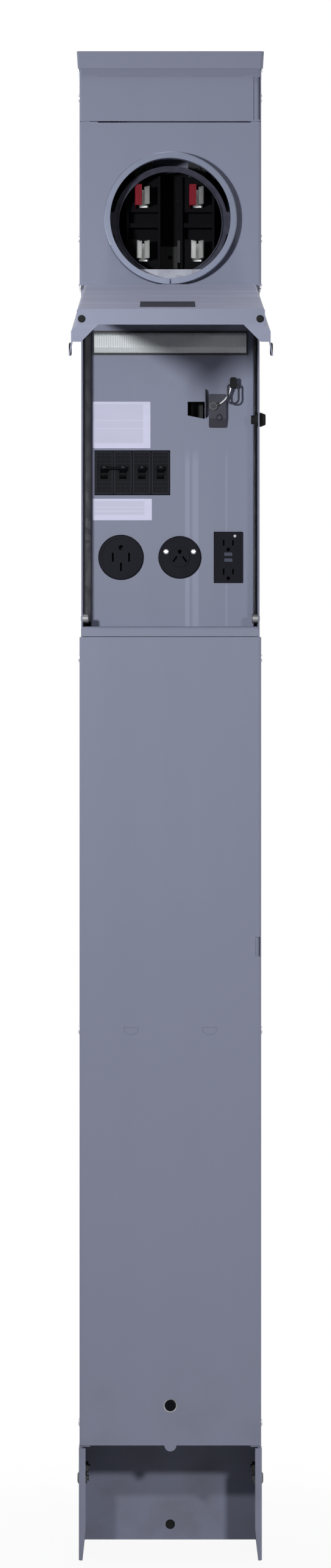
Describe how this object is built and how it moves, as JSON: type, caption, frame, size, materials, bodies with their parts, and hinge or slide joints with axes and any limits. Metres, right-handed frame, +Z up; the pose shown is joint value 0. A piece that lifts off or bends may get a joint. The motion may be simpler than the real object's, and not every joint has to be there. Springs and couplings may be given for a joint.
{
  "type": "meter socket enclosure",
  "caption": "Tall buried steel power pedestal with a round meter socket, a weather door raised over its breakers and outlets, a long lower cover and open legs.",
  "frame": {"origin": "middle of the open foot, level with the bottom of the legs", "axes": "+Z up the post, +X to the right seen from the front, -Y out of the front"},
  "size_m": [0.2532, 0.632, 2.021],
  "materials": {
    "painted_steel": "satin powder coat",
    "galvanised": "matte zinc",
    "zinc_fastener": "bright zinc",
    "dark_fastener": "dark oiled",
    "ring_aluminium": "satin",
    "black_phenolic": "moulded",
    "black_bracket": "black paint",
    "red_insulation": "moulded",
    "tinned_jaw": "tinned",
    "lug_aluminium": "sawn",
    "device_black": "satin moulded",
    "breaker_black": "moulded",
    "button_grey": "moulded",
    "label_white": "smooth film",
    "lens_clear": "frosted",
    "lamp_tray": "moulded",
    "hasp_steel": "dark zinc",
    "bright_wire": "bright",
    "black_grip": "moulded",
    "ground_brass": "sawn"
  },
  "bodies": {
    "pedestal": {"post_channel": "painted_steel", "base_channel": "painted_steel", "base_bolts": "zinc_fastener", "top_cap": "painted_steel", "top_panel": "painted_steel", "meter_cover": "painted_steel", "upper_screws": "zinc_fastener", "lower_cover": "painted_steel", "side_screws": "zinc_fastener", "cover_bolt": "dark_fastener", "cover_bracket": "galvanised", "compartment_sill": "painted_steel", "meter_floor": "galvanised", "sealing_ring": "ring_aluminium", "support_rim": "galvanised", "support_bracket": "galvanised", "socket_bracket": "black_bracket", "socket_block_left": "black_phenolic", "socket_block_right": "black_phenolic", "line_jaw_left": "tinned_jaw", "line_jaw_right": "tinned_jaw", "load_jaw_left": "tinned_jaw", "load_jaw_right": "tinned_jaw", "line_guards": "red_insulation", "line_lugs": "lug_aluminium", "neutral_bar": "lug_aluminium", "bus_bar_left": "lug_aluminium", "bus_bar_right": "lug_aluminium", "outlet_panel": "painted_steel", "panel_brackets": "galvanised", "breaker_base": "black_phenolic", "breaker_50a": "breaker_black", "breaker_30a": "breaker_black", "breaker_20a": "breaker_black", "receptacle_50a": "device_black", "receptacle_30a": "device_black", "receptacle_screws": "zinc_fastener", "gfci_body": "device_black", "upper_label": "label_white", "lower_label": "label_white", "light_lens": "lens_clear", "light_housing": "lamp_tray", "photocell_eye": "black_grip", "photocell_nut": "black_grip", "ground_bar": "ground_brass", "hasp_keeper": "painted_steel", "hasp_base": "hasp_steel", "fixed_hinge_leaf": "painted_steel", "hinge_pin": "zinc_fastener", "latch_studs": "zinc_fastener"},
    "door": {"door": "painted_steel", "door_hinge_leaf": "painted_steel"},
    "handle_50a": {"handle_50a": "breaker_black"},
    "handle_30a": {"handle_30a": "breaker_black"},
    "handle_20a": {"handle_20a": "breaker_black"},
    "test_button": {"gfci_test_button": "button_grey"},
    "reset_button": {"gfci_reset_button": "button_grey"},
    "lever": {"hasp_lever": "bright_wire", "hasp_grip": "black_grip"},
    "bail": {"hasp_bail": "hasp_steel"}
  },
  "joints": [
    {"name": "door_hinge", "type": "hinge", "parent": "pedestal", "child": "door", "pos_m": [0, -0.1123, 1.7], "axis": [1, 0, 0], "range_deg": [0, 79]},
    {"name": "handle_50a_throw", "type": "hinge", "parent": "pedestal", "child": "handle_50a", "pos_m": [0, -0.0131, 1.4612], "axis": [1, 0, 0], "range_deg": [0, 36]},
    {"name": "handle_30a_throw", "type": "hinge", "parent": "pedestal", "child": "handle_30a", "pos_m": [0, -0.0131, 1.4612], "axis": [1, 0, 0], "range_deg": [0, 36]},
    {"name": "handle_20a_throw", "type": "hinge", "parent": "pedestal", "child": "handle_20a", "pos_m": [0, -0.0131, 1.4612], "axis": [1, 0, 0], "range_deg": [0, 36]},
    {"name": "test_button_press", "type": "slide", "parent": "pedestal", "child": "test_button", "axis": [0, 1, 0], "range_m": [0, 0.0012], "stiffness_N_per_m": 800},
    {"name": "reset_button_press", "type": "slide", "parent": "pedestal", "child": "reset_button", "axis": [0, 1, 0], "range_m": [0, 0.0012], "stiffness_N_per_m": 800},
    {"name": "lever_turn", "type": "hinge", "parent": "pedestal", "child": "lever", "pos_m": [0.0578, -0.0323, 1.5502], "axis": [0, 1, 0], "range_deg": [-45, 30]},
    {"name": "bail_swing", "type": "hinge", "parent": "lever", "child": "bail", "pos_m": [0.0848, -0.0363, 1.5782], "axis": [-1, 0, 0], "range_deg": [0, 95]}
  ]
}
